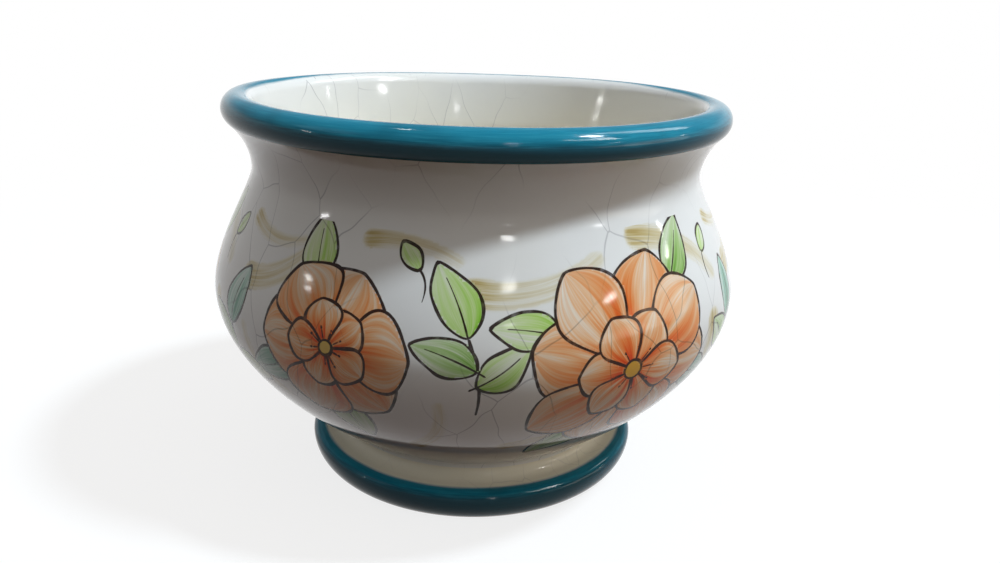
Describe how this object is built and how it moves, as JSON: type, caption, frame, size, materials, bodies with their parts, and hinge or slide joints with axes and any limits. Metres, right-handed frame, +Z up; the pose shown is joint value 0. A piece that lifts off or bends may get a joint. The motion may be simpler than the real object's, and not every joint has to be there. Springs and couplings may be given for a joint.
{
  "type": "cachepot",
  "caption": "Round glazed earthenware cachepot with a full belly, waisted neck, rolled rim and turned foot ring; a plain floor without a drain hole holds a nursery pot.",
  "frame": {"origin": "centre of the foot ring's resting face, on the table", "axes": "+Z up along the pot's axis, out of the mouth; the pictured side faces -Y"},
  "size_m": [0.214, 0.214, 0.156],
  "materials": {
    "white_glaze": "gloss",
    "teal_glaze": "gloss",
    "fired_slip": "matte"
  },
  "bodies": {
    "root": {"bowl": "white_glaze", "collar": "white_glaze", "rim_roll": "teal_glaze", "foot_ring": "teal_glaze", "foot_slip_joint": "fired_slip", "collar_slip_joint": "fired_slip", "rim_slip_joint": "fired_slip"}
  },
  "joints": []
}
